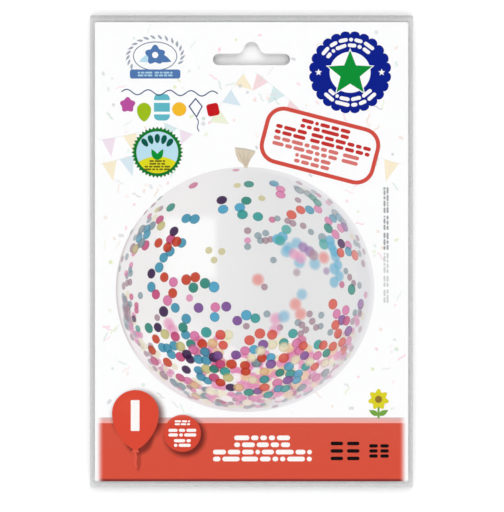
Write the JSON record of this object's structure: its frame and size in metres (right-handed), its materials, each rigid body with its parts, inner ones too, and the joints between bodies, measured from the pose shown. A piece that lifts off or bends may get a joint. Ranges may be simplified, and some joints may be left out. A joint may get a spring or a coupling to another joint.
{
  "type": "printed hang packet",
  "caption": "Flat retail packet lying face up: a clear welded film sleeve round a printed card, with a hang slot punched through its header.",
  "frame": {"origin": "centre of the packet's outline in plan, on the surface that it lies on", "axes": "+Z out of the printed face, +Y towards the hang slot, +X to the right when the print is read"},
  "size_m": [0.134, 0.196, 0.0032],
  "materials": {
    "clear_film": "clear glossy film with matt crimped welds",
    "card": "white coated board, printed in colour on its front"
  },
  "bodies": {
    "root": {"film_sleeve": "clear_film", "printed_card": "card"}
  },
  "joints": []
}
